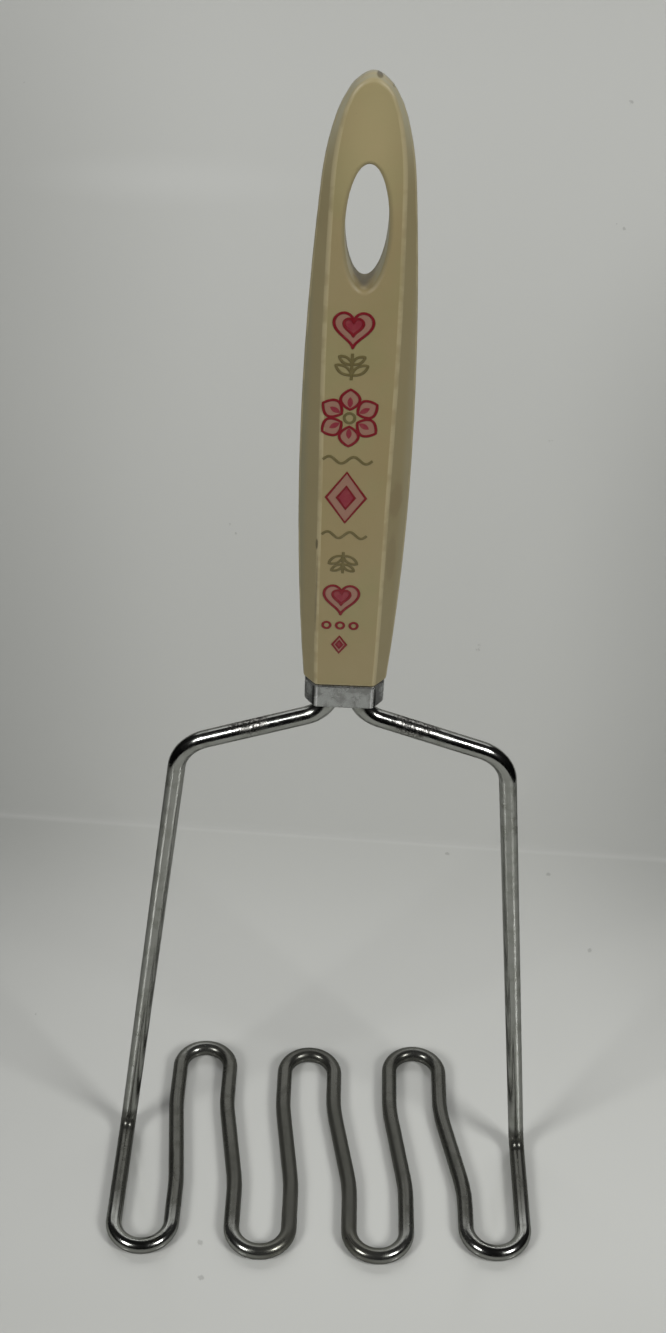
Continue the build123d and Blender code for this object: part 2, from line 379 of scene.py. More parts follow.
@dataclass(frozen=True)
class AgedPlastic:
    """Glossy moulded plastic, yellowed, with rubbed edges, handling marks and painted light and shade.
    """

    name: str
    colour: Colour
    yellowed: Colour
    greened: Colour
    rubbed: Colour
    bevel_painted_shade: Colour
    flank_painted_light_and_shade: tuple[Colour, Colour]
    crown_painted_light: Colour
    grime: Colour
    roughness: float
    spots: tuple[Spot, ...]
    yellowing: Patches = Patches(45.0, 0.5, 0.22)
    greening: Patches = Patches(75.0, 0.46, 0.12, 0.55)
    bevel_turn: Span = (0.3, 0.6)
    bevel_strength: float = 0.9
    flank_blend: Span = (-0.5, 0.5)
    flank_reach: Span = (7.8 * MM, 9.4 * MM)
    flank_turn: Span = (0.8, 0.96)
    flank_strength: float = 0.85
    crown_heights: Span = (238 * MM, 254 * MM)
    crown_turn: Span = (0.8, 0.5)
    crown_strength: float = 0.75
    wear: EdgeWear = EdgeWear(260.0, 0.35, 0.7)
    specks: Patches = Patches(1500.0, 0.27, 0.03, 0.3)
    smears: Patches = Patches(160.0, 0.5, 0.2)
    smear_roughness: float = 0.1
    ripple_scale: float = 220.0
    ripple_detail: float = 3.0
    ripple_strength: float = 0.12
    ripple_distance: float = 0.1 * MM
    refraction: float = 1.49

    def build(self) -> bpy.types.Material:
        """Makes the material.

        Returns:
            The finished material.
        """
        material, graph, shader, _ = new_material(self.name)
        place = graph.place()
        colour = self._marks(graph, place, self._sides(graph, place, self._body(graph, place)))
        rough_span = (self.roughness, self.roughness + self.smear_roughness)
        roughness = graph.ramp(self.smears.mask(graph, place), (0.0, 1.0), rough_span)
        ripple = graph.noise(place, self.ripple_scale, self.ripple_detail)
        normal = graph.bump(ripple, self.ripple_strength, self.ripple_distance)
        graph.fill(
            shader,
            {"Base Color": colour, "Roughness": roughness, "Normal": normal, "IOR": self.refraction},
        )
        return material

    def _body(self, graph: Graph, place: Socket) -> Socket:
        """Unevenly yellowed body colour."""
        colour = graph.mix(self.yellowing.mask(graph, place), self.colour, self.yellowed)
        return graph.mix(self.greening.mask(graph, place), colour, self.greened)

    def _sides(self, graph: Graph, place: Socket, colour: Socket) -> Socket:
        """Painted light and shade: a darker tone on the bevels, a darker left and a lighter right
        flank, and a paler rounded crown.

        Args:
            graph: The material's graph.
            place: Place on the piece.
            colour: Colour of the flat face.

        Returns:
            The colour with that painted light and shade.
        """
        sideways, facing, _ = graph.axes(graph.add("ShaderNodeNewGeometry").outputs["Normal"])
        across, _, height = graph.axes(place)
        turned = graph.math("ABSOLUTE", sideways)
        # painted shade: faces turned sideways take a darker tone
        bevel = graph.ramp(turned, self.bevel_turn, (0.0, self.bevel_strength))
        colour = graph.mix(bevel, colour, self.bevel_painted_shade)
        # painted light and shade: the left flank darker, the right flank lighter
        flank = graph.mix(graph.ramp(sideways, self.flank_blend), *self.flank_painted_light_and_shade)
        outer = graph.ramp(graph.math("ABSOLUTE", across), self.flank_reach)
        outer = graph.math("MAXIMUM", outer, graph.ramp(turned, self.flank_turn))
        colour = graph.mix(graph.times(outer, self.flank_strength), colour, flank)
        # painted light: the rounded crown near the tip is paler
        rounded = graph.ramp(graph.math("ABSOLUTE", facing), self.crown_turn)
        crown = graph.times(graph.ramp(height, self.crown_heights), rounded)
        return graph.mix(graph.times(crown, self.crown_strength), colour, self.crown_painted_light)

    def _marks(self, graph: Graph, place: Socket, colour: Socket) -> Socket:
        """Rubbed edges, local marks with some painted light and shade, and fine dirt.

        Args:
            graph: The material's graph.
            place: Place on the piece.
            colour: Colour under the marks.

        Returns:
            The colour with the marks.
        """
        colour = graph.mix(self.wear.mask(graph, place), colour, self.rubbed)
        for spot in self.spots:
            colour = graph.mix(spot.mask(graph, place), colour, spot.colour)
        return graph.mix(self.specks.mask(graph, place), colour, self.grime)


@dataclass(frozen=True)
class PrintInk:
    """Thin screen-printed ink, slightly uneven and rubbed."""

    name: str
    colour: Colour
    faded: Colour
    fading: Patches = Patches(900.0, 0.42, 0.15, 0.6)
    roughness: float = 0.38

    def build(self) -> bpy.types.Material:
        """Makes the material.

        Returns:
            The finished material.
        """
        material, graph, shader, _ = new_material(self.name)
        colour = graph.mix(self.fading.mask(graph, graph.place()), self.colour, self.faded)
        graph.fill(shader, {"Base Color": colour, "Roughness": self.roughness})
        return material


@dataclass(frozen=True)
class DrawnStreaks:
    """Faint lines along drawn wire, from its own length and ring attributes."""

    patches: Patches = Patches(1.0, 0.46, 0.1)
    around: float = 6.0
    lengthways: float = 25.0
    dulling: float = 0.35
    roughness: float = 0.06

    def mask(self, graph: Graph) -> Socket:
        """Adds the streaks' mask to a material.

        Args:
            graph: The material's graph.

        Returns:
            Mask socket of the streaks.
        """
        across, up, _ = graph.axes(graph.attribute("ring", "Vector"))
        inputs = {
            0: graph.times(across, self.around),
            1: graph.times(up, self.around),
            2: graph.times(graph.attribute("along"), self.lengthways),
        }
        return self.patches.mask(graph, graph.add("ShaderNodeCombineXYZ", inputs).outputs[0])


@dataclass(frozen=True)
class PlatedMetal:
    """Chrome plating with haze, fine scratches, local rough patches and tarnish, with painted shade on
    its lowest side and painted reflection and highlight lines where given.
    """

    name: str
    colour: Colour
    dulled: Colour
    roughness: float
    haze: Patches
    haze_roughness: float
    edge_tint: float
    ripple: float
    film: float = 0.0
    streaks: DrawnStreaks | None = None
    pits: tuple[Spot, ...] = ()
    pit_grit: Span = (0.43, 0.53)
    pit_colour: Colour = (0.015, 0.015, 0.014)
    pit_roughness: float = 0.12
    tarnish_and_painted_lines: tuple[Spot, ...] = ()
    tarnish_roughness: float = 0.1
    tarnish_film: float = 0.0
    painted_underside_shade: float = 0.0
    painted_underside_heights: Span = (2.7 * MM, 0.9 * MM)
    painted_underside_colour: Colour = (0.1, 0.1, 0.09)
    wear: EdgeWear = EdgeWear(900.0, 0.2, 0.6)
    ripple_scale: float = 120.0
    ripple_detail: float = 1.0
    grit_scale: float = 2200.0
    grit_detail: float = 4.0
    bump_strength: float = 0.5
    bump_distance: float = 0.12 * MM

    def build(self) -> bpy.types.Material:
        """Makes the material.

        Returns:
            The finished material.
        """
        material, graph, shader, _ = new_material(self.name)
        place = graph.place()
        haze = self.haze.mask(graph, place)
        colour = graph.mix(haze, self.colour, self.dulled)
        roughness = graph.ramp(haze, (0.0, 1.0), (self.roughness, self.haze_roughness))
        if self.streaks:
            streaks = self.streaks.mask(graph)
            colour = graph.mix(graph.times(streaks, self.streaks.dulling), colour, self.dulled)
            roughness = graph.plus(roughness, graph.times(streaks, self.streaks.roughness))
        height = graph.times(graph.noise(place, self.ripple_scale, self.ripple_detail), self.ripple)
        grit = graph.noise(place, self.grit_scale, self.grit_detail)
        for pit in self.pits:
            mask = pit.mask(graph, place)
            dark = graph.times(mask, graph.ramp(grit, self.pit_grit))
            colour = graph.mix(dark, graph.mix(mask, colour, pit.colour), self.pit_colour)
            roughness = graph.plus(roughness, graph.times(mask, self.pit_roughness))
            height = graph.plus(height, graph.times(mask, grit))
        film = self.film
        # tarnish on the wire's head; on the ferrule, painted dark-reflection and highlight lines
        for patch in self.tarnish_and_painted_lines:
            mask = patch.mask(graph, place)
            film = graph.plus(film, graph.times(mask, self.tarnish_film))
            colour = graph.mix(mask, colour, patch.colour)
            roughness = graph.plus(roughness, graph.times(mask, self.tarnish_roughness))
        # painted shade: the wire darkens towards its lowest side, beside the floor
        low = graph.ramp(graph.axes(place)[2], self.painted_underside_heights, (0.0, self.painted_underside_shade))
        colour = graph.mix(low, colour, self.painted_underside_colour)
        colour = graph.mix(self.wear.mask(graph, place), colour, self.dulled)
        graph.fill(
            shader,
            {
                "Base Color": colour,
                "Roughness": roughness,
                "Normal": graph.bump(height, self.bump_strength, self.bump_distance),
                "Metallic": graph.math("SUBTRACT", 1.0, film, clamp=True),
                "Specular Tint": (self.edge_tint, self.edge_tint, self.edge_tint),
            },
        )
        return material


@dataclass(frozen=True)
class StudioSheet:
    """Pale smooth sheet with painted light and shade, transparent from behind and from below. Lengths
    in metres.
    """

    name: str
    near: Colour
    far: Colour
    blend: Span
    roughness: float
    painted_light_shade_and_specks: tuple[Spot, ...]
    crease: float = 0.113
    slope: float = 0.04
    crease_highlight_reach: Span = (0.0016, 0.0002)
    crease_highlight_strength: float = 0.1
    crease_highlight_colour: Colour = (0.9, 0.9, 0.88)
    cloud_scale: float = 9.0
    cloud_detail: float = 2.0
    cloud_share: float = 0.1
    dust: Patches = Patches(110.0, 0.26, 0.012, 0.35)
    dust_colour: Colour = (0.22, 0.22, 0.2)

    def build(self) -> bpy.types.Material:
        """Makes the material.

        Returns:
            The finished material.
        """
        material, graph, shader, output = new_material(self.name)
        place = graph.place()
        across, along, _ = graph.axes(place)
        clouds = graph.noise(place, self.cloud_scale, self.cloud_detail)
        clouds = graph.times(clouds, self.cloud_share)
        # painted light and shade: the colour fades from the near tone to the far tone, with random
        # clouds
        tone = graph.math("ADD", graph.ramp(along, self.blend), clouds, clamp=True)
        colour = graph.mix(tone, self.near, self.far)
        # painted shade, painted light and dust specks, each a soft mark
        for shade in self.painted_light_shade_and_specks:
            colour = graph.mix(shade.mask(graph, place), colour, shade.colour)
        # painted highlight: a lighter line along the fold
        aslant = graph.plus(along, graph.times(across, self.slope))
        beside = graph.math("ABSOLUTE", graph.math("SUBTRACT", aslant, self.crease))
        line = graph.ramp(beside, self.crease_highlight_reach, (0.0, self.crease_highlight_strength))
        colour = graph.mix(line, colour, self.crease_highlight_colour)
        colour = graph.mix(self.dust.mask(graph, place), colour, self.dust_colour)
        graph.fill(shader, {"Base Color": colour, "Roughness": self.roughness})
        behind = graph.add("ShaderNodeNewGeometry").outputs["Backfacing"]
        clear = graph.add("ShaderNodeBsdfTransparent").outputs[0]
        shown = graph.add("ShaderNodeMixShader", {0: behind, 1: shader.outputs[0], 2: clear})
        graph.fill(output, {0: shown.outputs[0]})
        return material


def scene_object(name: str, data: bpy.types.ID) -> bpy.types.Object:
    """Links a new object at the origin into the scene.

    Args:
        name: Name for the object.
        data: Its mesh, curve, camera or lamp.

    Returns:
        The object.
    """
    obj = bpy.data.objects.new(name, data)
    bpy.context.scene.collection.objects.link(obj)
    return obj


def line_object(name: str, lines: Iterable[tuple[Sequence[Triple], bool]]) -> bpy.types.Object:
    """Object of curves with straight edges.

    Args:
        name: Name for the object.
        lines: Points of each line in metres, and whether it is closed.

    Returns:
        The curve object.
    """
    curve = bpy.data.curves.new(name, "CURVE")
    curve.dimensions = "3D"
    for points, closed in lines:
        spline = curve.splines.new("POLY")
        spline.points.add(len(points) - 1)
        for target, point in zip(spline.points, points):
            target.co = (*point, 1.0)
        spline.use_cyclic_u = closed
    return scene_object(name, curve)


def evaluated_mesh(obj: bpy.types.Object, name: str) -> bpy.types.Mesh:
    """Plain mesh of an object after its modifiers, which are then removed with it.

    Args:
        obj: Object with live modifiers.
        name: Name for the mesh.

    Returns:
        The new mesh.
    """
    bpy.context.view_layer.update()
    graph = bpy.context.evaluated_depsgraph_get()
    mesh = bpy.data.meshes.new_from_object(obj.evaluated_get(graph), depsgraph=graph)
    mesh.name = name
    bpy.data.objects.remove(obj, do_unlink=True)
    return mesh


def geometry_tree(name: str, sockets: dict[str, str]) -> tuple[Graph, bpy.types.NodeOutputs]:
    """Starts a geometry node tree with a geometry input, named inputs and a geometry output.

    Args:
        name: Tree name.
        sockets: Socket type by input name.

    Returns:
        The tree's graph and its input sockets.
    """
    tree = bpy.data.node_groups.new(name, "GeometryNodeTree")
    tree.interface.new_socket("Geometry", in_out="INPUT", socket_type="NodeSocketGeometry")
    for label, kind in sockets.items():
        tree.interface.new_socket(label, in_out="INPUT", socket_type=kind)
    tree.interface.new_socket("Geometry", in_out="OUTPUT", socket_type="NodeSocketGeometry")
    graph = Graph(tree)
    return graph, graph.add("NodeGroupInput").outputs


def end_tree(graph: Graph, geometry: Socket, material: Socket) -> bpy.types.NodeTree:
    """Ends a geometry node tree in real geometry with its material.

    Args:
        graph: The tree's graph.
        geometry: Geometry that is put out.
        material: Material input of the tree.

    Returns:
        The finished tree.
    """
    real = graph.add("GeometryNodeRealizeInstances", {0: geometry})
    dressed = {"Geometry": real.outputs[0], "Material": material}
    graph.add("NodeGroupOutput", {0: graph.add("GeometryNodeSetMaterial", dressed).outputs[0]})
    return graph.tree


def add_tree(obj: bpy.types.Object, tree: bpy.types.NodeTree, values: dict) -> None:
    """Gives an object a geometry node tree, its inputs set by socket identifier.

    Args:
        obj: Object that is not yet evaluated.
        tree: Geometry node tree.
        values: Values by input name.
    """
    modifier = obj.modifiers.new(tree.name, "NODES")
    modifier.node_group = tree
    for item in tree.interface.items_tree:
        if item.item_type == "SOCKET" and item.in_out == "INPUT" and item.name in values:
            modifier[item.identifier] = values[item.name]


def join_part(obj: bpy.types.Object, slot: str, *replaced: str) -> None:
    """Lets a finished piece ride with the part, hides the CAD nodes it stands for and logs its slot.

    Args:
        obj: Finished piece.
        slot: Material slot of the record.
        replaced: CAD nodes that the piece stands for.
    """
    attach(obj, "root")
    if replaced:
        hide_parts(*replaced)
    LOG.info("%s: %d faces, slot %s", obj.name, len(obj.data.polygons), slot)


@dataclass(frozen=True)
class SoftenedSolid:
    """Copy of a CAD node whose sharp edges are rounded and marked for wear."""

    name: str
    slot: str
    edge_width: float
    lowest: float
    kept_low: Triple = (0.0, 0.0, 0.0)
    kept_high: Triple = (0.0, 0.0, 0.0)
    tip_start: float = 1.0
    tip_top: float = 2.0
    tip_narrowing: float = 0.0
    sharp_angle: float = math.radians(22)
    segments: int = 3
    normal_weight: int = 80
    merge_distance: float = 1e-7

    def build(self, node: bpy.types.Object) -> bpy.types.Object:
        """Makes the piece.

        Args:
            node: CAD node that is copied.

        Returns:
            The rounded piece, at the origin.
        """
        shape = bmesh.new()
        shape.from_mesh(node.data)
        shape.transform(node.matrix_world)
        bmesh.ops.remove_doubles(shape, verts=shape.verts, dist=self.merge_distance)
        bmesh.ops.dissolve_degenerate(shape, edges=shape.edges, dist=self.merge_distance)
        self._narrow(shape)
        mesh = self._rounded(shape)
        shape.free()
        mesh.shade_smooth()
        obj = scene_object(self.name, mesh)
        weighted = obj.modifiers.new("normals", "WEIGHTED_NORMAL")
        weighted.keep_sharp = True
        weighted.weight = self.normal_weight
        return scene_object(self.name, evaluated_mesh(obj, self.name))

    def dress(self, obj: bpy.types.Object, finish: bpy.types.Material, node: str) -> None:
        """Gives the piece its finish and its place in the part.

        Args:
            obj: The built piece.
            finish: Its material.
            node: Name of the CAD node that it replaces.
        """
        obj.data.materials.clear()
        obj.data.materials.append(finish)
        join_part(obj, self.slot, node)

    def _narrow(self, shape: bmesh.types.BMesh) -> None:
        """Narrows the tip more and more towards its top.

        Args:
            shape: Shape that is changed.
        """
        for vertex in shape.verts:
            share = max(0.0, vertex.co.z - self.tip_start) / (self.tip_top - self.tip_start)
            vertex.co.x *= 1 - self.tip_narrowing * share**2

    def _rounded(self, shape: bmesh.types.BMesh) -> bpy.types.Mesh:
        """Mesh with rounded edges, their faces marked in the edge attribute.

        Args:
            shape: Shape with sharp edges.

        Returns:
            The new mesh.
        """
        made = bmesh.ops.bevel(
            shape,
            geom=[edge for edge in shape.edges if self._is_sharp(edge)],
            offset=self.edge_width,
            offset_type="OFFSET",
            segments=self.segments,
            profile=0.5,
            affect="EDGES",
            clamp_overlap=False,
        )
        shape.faces.index_update()
        rounded = {face.index for face in made["faces"] if face.is_valid}
        mesh = bpy.data.meshes.new(self.name)
        shape.to_mesh(mesh)
        edge = mesh.attributes.new("edge", "FLOAT", "FACE")
        for index in rounded:
            edge.data[index].value = 1.0
        return mesh

    def _is_sharp(self, edge: bmesh.types.BMEdge) -> bool:
        """Whether an edge is an outer crease that gets rounded.

        Args:
            edge: Edge of the shape.

        Returns:
            True for a crease outside the box that stays as it is.
        """
        if len(edge.link_faces) != 2 or edge.calc_face_angle() < self.sharp_angle:
            return False
        middle = (edge.verts[0].co + edge.verts[1].co) / 2
        box = zip(self.kept_low, middle, self.kept_high)
        kept = all(low < value < high for low, value, high in box)
        return not kept and min(vertex.co.z for vertex in edge.verts) >= self.lowest


@dataclass(frozen=True)
class MouldedHandle(SoftenedSolid):
    """Plastic handle with a rounder tip; the hang hole's own rounding stays as modelled."""

    name: str = "moulded_handle"
    slot: str = "handle_plastic"
    edge_width: float = 0.45 * MM
    lowest: float = 143.2 * MM
    kept_low: Triple = (-5.0 * MM, -8.0 * MM, 221.0 * MM)
    kept_high: Triple = (5.0 * MM, 8.0 * MM, 245.5 * MM)
    tip_start: float = 251.0 * MM
    tip_top: float = 257.4 * MM
    tip_narrowing: float = 0.34


@dataclass(frozen=True)
class DrawnFerrule(SoftenedSolid):
    """Thin plated cup under the handle."""

    name: str = "drawn_ferrule"
    slot: str = "ferrule_chrome"
    edge_width: float = 0.3 * MM
    lowest: float = 137.5 * MM


class Surface:
    """Front surface of a piece, for laying print on it."""

    def __init__(self, obj: bpy.types.Object) -> None:
        """Takes the surface of a piece."""
        faces = [tuple(face.vertices) for face in obj.data.polygons]
        self.tree = BVHTree.FromPolygons([vertex.co for vertex in obj.data.vertices], faces)

    def depth(self, across: float, height: float) -> float:
        """Y of the front surface at a place seen from the front."""
        hit = self.tree.ray_cast(Vector((across, -50 * MM, height)), Vector((0, 1, 0)))[0]
        return hit.y if hit else 0.0


class Tone(Enum):
    """Inks of the printed ornament, named as their pieces."""

    CRIMSON = "print_crimson"
    ROSE = "print_rose"
    BLUSH = "print_blush"
    OLIVE = "print_olive"


@dataclass(frozen=True)
class Stroke:
    """One printed line or filled shape, in millimetres around the motif's own middle."""

    points: Outline
    tone: Tone
    closed: bool = True
    filled: bool = False


def petal(length: float, width: float, turn: float, start: float, count: int = 14) -> Outline:
    """Points round one pointed petal or leaf that leaves the middle at an angle.

    Args:
        length: Length from foot to tip.
        width: Greatest width.
        turn: Direction in radians.
        start: Distance of its foot from the middle.
        count: Points on each side.

    Returns:
        The outline.
    """
    fullness = 0.8
    outline = []
    for side in (1, -1):
        for step in range(count):
            share = step / count if side > 0 else 1 - step / count
            aside = side * width / 2 * math.sin(math.pi * share) ** fullness
            outline.append((start + length * share, aside))
    c, s = math.cos(turn), math.sin(turn)
    return tuple((x * c - z * s, x * s + z * c) for x, z in outline)


def moved(points: Outline, size: float = 1.0, across: float = 0.0, up: float = 0.0) -> Outline:
    """An outline scaled and then shifted."""
    return tuple((x * size + across, z * size + up) for x, z in points)


def nested(outline: Outline, inner: Outline) -> list[Stroke]:
    """Pale outlined shape with a deeper one inside.

    Args:
        outline: Points of the outer shape.
        inner: Points of the inner shape.

    Returns:
        Fills and lines.
    """
    return [
        Stroke(outline, Tone.BLUSH, filled=True),
        Stroke(inner, Tone.ROSE, filled=True),
        Stroke(outline, Tone.CRIMSON),
        Stroke(inner, Tone.CRIMSON),
    ]


@dataclass(frozen=True)
class Ring:
    """Small ring, also in a row of several."""

    radius: float
    tone: Tone = Tone.CRIMSON
    places: tuple[float, ...] = (0.0,)
    count: int = 28

    def strokes(self) -> list[Stroke]:
        """The rings' lines.

        Returns:
            One stroke for each place.
        """
        angles = [2 * math.pi * step / self.count for step in range(self.count)]
        circle = tuple((self.radius * math.cos(a), self.radius * math.sin(a)) for a in angles)
        return [Stroke(moved(circle, across=place), self.tone) for place in self.places]


@dataclass(frozen=True)
class Heart:
    """Heart on its tip with a smaller one inside. Its height is a sum of cosine waves."""

    width: float
    height: float
    inner_size: float = 0.5
    inner_lift: float = 0.04
    waves: tuple[int, ...] = (13, -5, -2, -1)
    wave_span: float = 14.5
    count: int = 56

    def strokes(self) -> list[Stroke]:
        """The heart's fills and lines.

        Returns:
            The strokes.
        """
        points = []
        for step in range(self.count):
            a = 2 * math.pi * step / self.count
            up = sum(size * math.cos(order * a) for order, size in enumerate(self.waves, 1))
            up /= self.wave_span
            points.append((math.sin(a) ** 3 * self.width / 2, up * self.height / 2))
        inner = moved(points, self.inner_size, up=self.height * self.inner_lift)
        return nested(tuple(points), inner)


@dataclass(frozen=True)
class Lozenge:
    """Outlined lozenge with a smaller one inside."""

    width: float
    height: float
    inner_size: float = 0.45

    def strokes(self) -> list[Stroke]:
        """The lozenge's fills and lines.

        Returns:
            The strokes.
        """
        x, z = self.width / 2, self.height / 2
        outline = ((0, z), (x, 0), (0, -z), (-x, 0))
        return nested(outline, moved(outline, self.inner_size))


@dataclass(frozen=True)
class Daisy:
    """Ring of outlined petals round a small ring. Shares are of the radius."""

    radius: float
    petals: int
    petal_shape: Triple = (0.7, 0.62, 0.3)
    vein_shape: Triple = (0.38, 0.18, 0.36)
    middle: float = 0.17

    def strokes(self) -> list[Stroke]:
        """The flower's fills and lines.

        Returns:
            The strokes.
        """
        strokes = []
        for step in range(self.petals):
            turn = math.pi / 2 + 2 * math.pi * step / self.petals
            outline, vein = (
                petal(self.radius * length, self.radius * width, turn, self.radius * start)
                for length, width, start in (self.petal_shape, self.vein_shape)
            )
            strokes.append(Stroke(outline, Tone.BLUSH, filled=True))
            strokes.append(Stroke(vein, Tone.ROSE, filled=True))
            strokes.append(Stroke(outline, Tone.CRIMSON))
        return strokes + Ring(self.radius * self.middle, Tone.OLIVE).strokes()


@dataclass(frozen=True)
class Sprig:
    """Short stem with two pairs of leaves, upright or hanging."""

    reach: float
    hanging: bool = False
    stem_share: float = 0.75
    leaf_width: float = 0.42
    leaf_angle: float = math.radians(58)
    pairs: tuple[Span, ...] = ((-0.45, 1.0), (0.15, 0.8))

    def strokes(self) -> list[Stroke]:
        """The stem's and the leaves' lines.

        Returns:
            The strokes.
        """
        upwards = -1 if self.hanging else 1
        end = upwards * self.reach * self.stem_share
        strokes = [Stroke(((0.0, -end), (0.0, end)), Tone.OLIVE, closed=False)]
        for share, size in self.pairs:
            for side in (-1, 1):
                turn = math.pi / 2 - side * self.leaf_angle
                length = self.reach * size
                leaf = petal(length, length * self.leaf_width, turn * upwards, 0.0)
                strokes.append(Stroke(moved(leaf, up=upwards * share * self.reach), Tone.OLIVE))
        return strokes


@dataclass(frozen=True)
class Wave:
    """Level wavy line."""

    width: float
    height: float = 1.3
    waves: int = 2
    count: int = 48

    def strokes(self) -> list[Stroke]:
        """The wave's line.

        Returns:
            The one stroke.
        """
        shares = [step / self.count for step in range(self.count + 1)]
        points = tuple(
            ((share - 0.5) * self.width, self.height / 2 * math.sin(2 * math.pi * self.waves * share))
            for share in shares
        )
        return [Stroke(points, Tone.OLIVE, closed=False)]


Motif = Ring | Heart | Lozenge | Daisy | Sprig | Wave


@dataclass(frozen=True)
class PrintedOrnament:
    """Column of printed motifs on the handle's front face."""

    surface: Surface
    line_width: float = 0.48 * MM
    line_sides: int = 8
    flatness: float = 0.06
    relief: float = 0.02 * MM
    offset: float = -1.4 * MM
    slot: str = "handle_plastic"
    layers: tuple[Tone, ...] = (Tone.BLUSH, Tone.ROSE, Tone.OLIVE, Tone.CRIMSON)
    column: tuple[tuple[float, Motif], ...] = (
        (216.6 * MM, Heart(6.6, 6.2)),
        (209.6 * MM, Sprig(3.2)),
        (200.2 * MM, Daisy(5.3, 6)),
        (192.2 * MM, Wave(8.6)),
        (184.8 * MM, Lozenge(7.0, 10.0)),
        (177.2 * MM, Wave(8.0)),
        (171.4 * MM, Sprig(3.0, hanging=True)),
        (163.8 * MM, Heart(6.4, 6.4)),
        (157.6 * MM, Ring(0.7, places=(-2.5, 0.0, 2.5))),
        (153.2 * MM, Lozenge(2.6, 3.8)),
    )

    def build(self, inks: dict[Tone, bpy.types.Material]) -> list[bpy.types.Object]:
        """Makes one thin piece for each ink.

        Args:
            inks: Material by tone.

        Returns:
            The printed pieces.
        """
        tree = self._tree()
        pieces = []
        for order, tone in enumerate(self.layers, 1):
            lines = line_object(f"{tone.value}_lines", self._lines(tone))
            filled = tone in (Tone.ROSE, Tone.BLUSH)
            add_tree(lines, tree, {"Line Width": self.line_width, "Filled": filled, "Ink": inks[tone]})
            mesh = evaluated_mesh(lines, tone.value)
            self._lay(mesh, self.relief * order)
            pieces.append(scene_object(tone.value, mesh))
        return pieces

    def dress(self, pieces: list[bpy.types.Object]) -> None:
        """Gives the print, already inked, its place in the part."""
        for piece in pieces:
            join_part(piece, self.slot)

    def _lines(self, tone: Tone) -> Iterable[tuple[list[Triple], bool]]:
        """Lines of one ink in the level plane, x across and y for height.

        Args:
            tone: The ink.

        Returns:
            Points of each line in metres, and whether it is closed.
        """
        for height, motif in self.column:
            for stroke in motif.strokes():
                if stroke.tone is tone:
                    points = [(x * MM + self.offset, height + z * MM, 0.0) for x, z in stroke.points]
                    yield points, stroke.closed

    def _tree(self) -> bpy.types.NodeTree:
        """Node tree that fills flat curves or gives them a line's width.

        Returns:
            The tree.
        """
        kinds = {
            "Line Width": "NodeSocketFloat",
            "Filled": "NodeSocketBool",
            "Ink": "NodeSocketMaterial",
        }
        graph, given = geometry_tree("flat_print", kinds)
        circle = {"Resolution": self.line_sides, "Radius": graph.times(given["Line Width"], 0.5)}
        profile = graph.add("GeometryNodeCurvePrimitiveCircle", circle).outputs[0]
        swept = {"Curve": given["Geometry"], "Profile Curve": profile}
        lines = graph.add("GeometryNodeCurveToMesh", swept).outputs[0]
        flat = {"Geometry": lines, "Scale": (1.0, 1.0, self.flatness)}
        flattened = graph.add("GeometryNodeTransform", flat).outputs[0]
        filled = graph.add("GeometryNodeFillCurve", {0: given["Geometry"]}).outputs[0]
        choice = graph.add(
            "GeometryNodeSwitch",
            {"Switch": given["Filled"], "False": flattened, "True": filled},
            input_type="GEOMETRY",
        )
        return end_tree(graph, choice.outputs[0], given["Ink"])

    def _lay(self, mesh: bpy.types.Mesh, proud: float) -> None:
        """Bends the flat print onto the front surface.

        Args:
            mesh: Flat print, which is changed.
            proud: Its height over the surface.
        """
        for vertex in mesh.vertices:
            across, height, rise = vertex.co
            depth = self.surface.depth(across, height)
            vertex.co = (across, depth - proud - rise, height)
        mesh.update()


